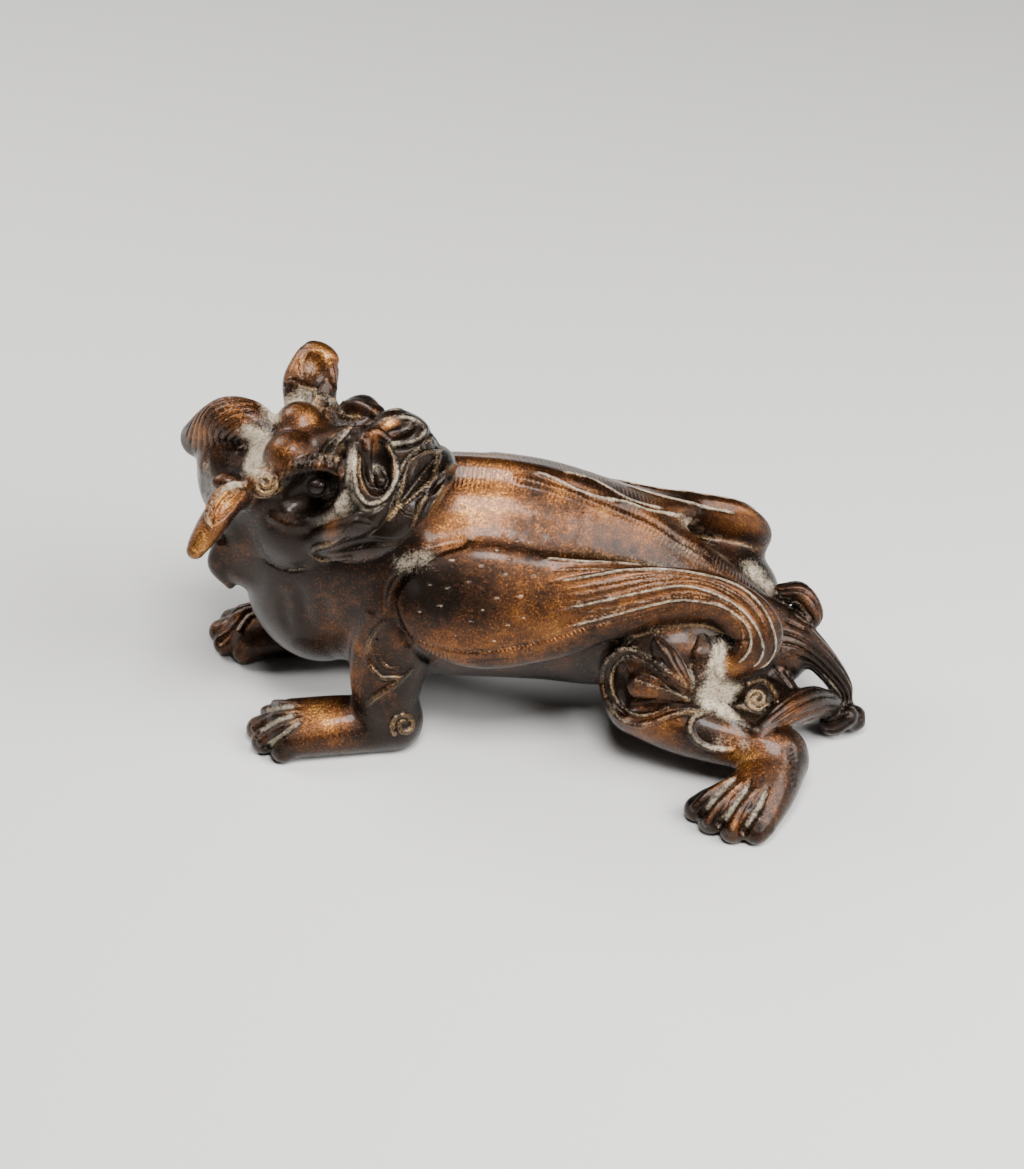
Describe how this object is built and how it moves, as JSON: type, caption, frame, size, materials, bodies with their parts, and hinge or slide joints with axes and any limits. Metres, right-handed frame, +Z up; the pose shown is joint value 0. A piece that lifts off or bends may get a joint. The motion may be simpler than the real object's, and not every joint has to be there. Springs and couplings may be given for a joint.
{
  "type": "pixiu figure",
  "caption": "Crouching winged pixiu cast in one piece of bronze, head turned over its left flank, resting on its feet.",
  "frame": {"origin": "on the ground below the middle of the figure's box", "axes": "+Z up, X along the body with the chest towards -X and the tail towards +X, the head turned towards -Y"},
  "size_m": [0.1238, 0.0788, 0.0693],
  "materials": {
    "bronze": "dark brown patinated cast bronze, worn to amber on the high spots, pale dust in the hollows"
  },
  "bodies": {
    "root": {"pixiu_figure": "bronze"}
  },
  "joints": []
}
